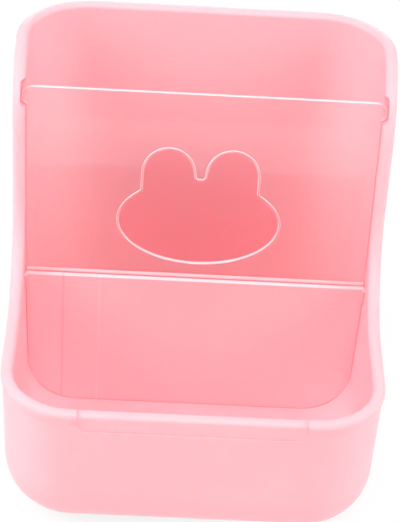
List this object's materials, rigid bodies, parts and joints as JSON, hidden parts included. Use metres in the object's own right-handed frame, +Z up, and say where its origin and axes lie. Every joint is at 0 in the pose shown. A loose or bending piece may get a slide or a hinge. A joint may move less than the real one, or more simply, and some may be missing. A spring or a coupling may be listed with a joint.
{
  "type": "hay feeder box",
  "caption": "Moulded hay feeder for rabbits: a tall hay hopper behind a low food tray, with a leaning clear baffle that has an animal-head opening.",
  "frame": {"origin": "middle of the footprint, on the plane the feeder stands on", "axes": "+Z up, +X to the right seen from the front, the tray and its front rim towards -Y"},
  "size_m": [0.1598, 0.1698, 0.159],
  "materials": {
    "pink_plastic": "satin moulded, slightly translucent",
    "clear_plastic": "clear moulded plastic sheet"
  },
  "bodies": {
    "tub": {"body_shell": "pink_plastic"},
    "baffle": {"hay_baffle": "clear_plastic"},
    "divider": {"tray_divider": "pink_plastic"}
  },
  "joints": [
    {"name": "baffle_pull_out", "type": "slide", "parent": "tub", "child": "baffle", "axis": [0, -0.9516, 0.3074], "range_m": [0, 0.08]},
    {"name": "divider_lift_out", "type": "slide", "parent": "tub", "child": "divider", "axis": [0, 0, 1], "range_m": [0, 0.09]}
  ]
}
